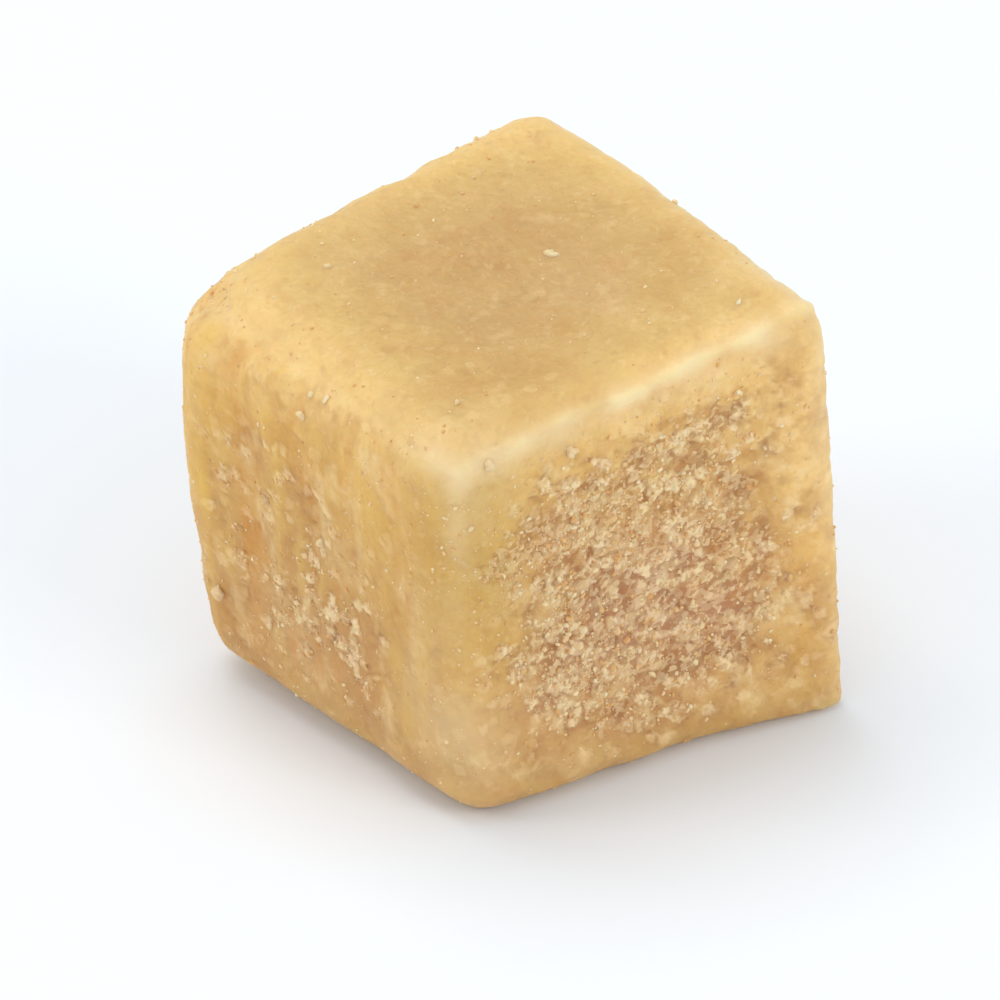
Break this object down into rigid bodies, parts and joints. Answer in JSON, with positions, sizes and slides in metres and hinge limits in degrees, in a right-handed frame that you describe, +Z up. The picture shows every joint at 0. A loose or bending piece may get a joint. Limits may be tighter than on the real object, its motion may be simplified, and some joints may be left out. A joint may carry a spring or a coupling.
{
  "type": "butter caramel",
  "caption": "Soft butter caramel, a small knife-cut cube with rounded edges that stands on its flat cut underside.",
  "frame": {"origin": "middle of the bounding box, on the flat underside that the caramel rests on", "axes": "+Z up, out of the smooth top; -Y out of the sugared front side, -X out of the knife-streaked left side"},
  "size_m": [0.0132, 0.0126, 0.013],
  "materials": {
    "caramel": "soft milk caramel, golden tan, waxy and slightly translucent, with a drier, sugary grain on the cut sides"
  },
  "bodies": {
    "root": {"caramel": "caramel"}
  },
  "joints": []
}
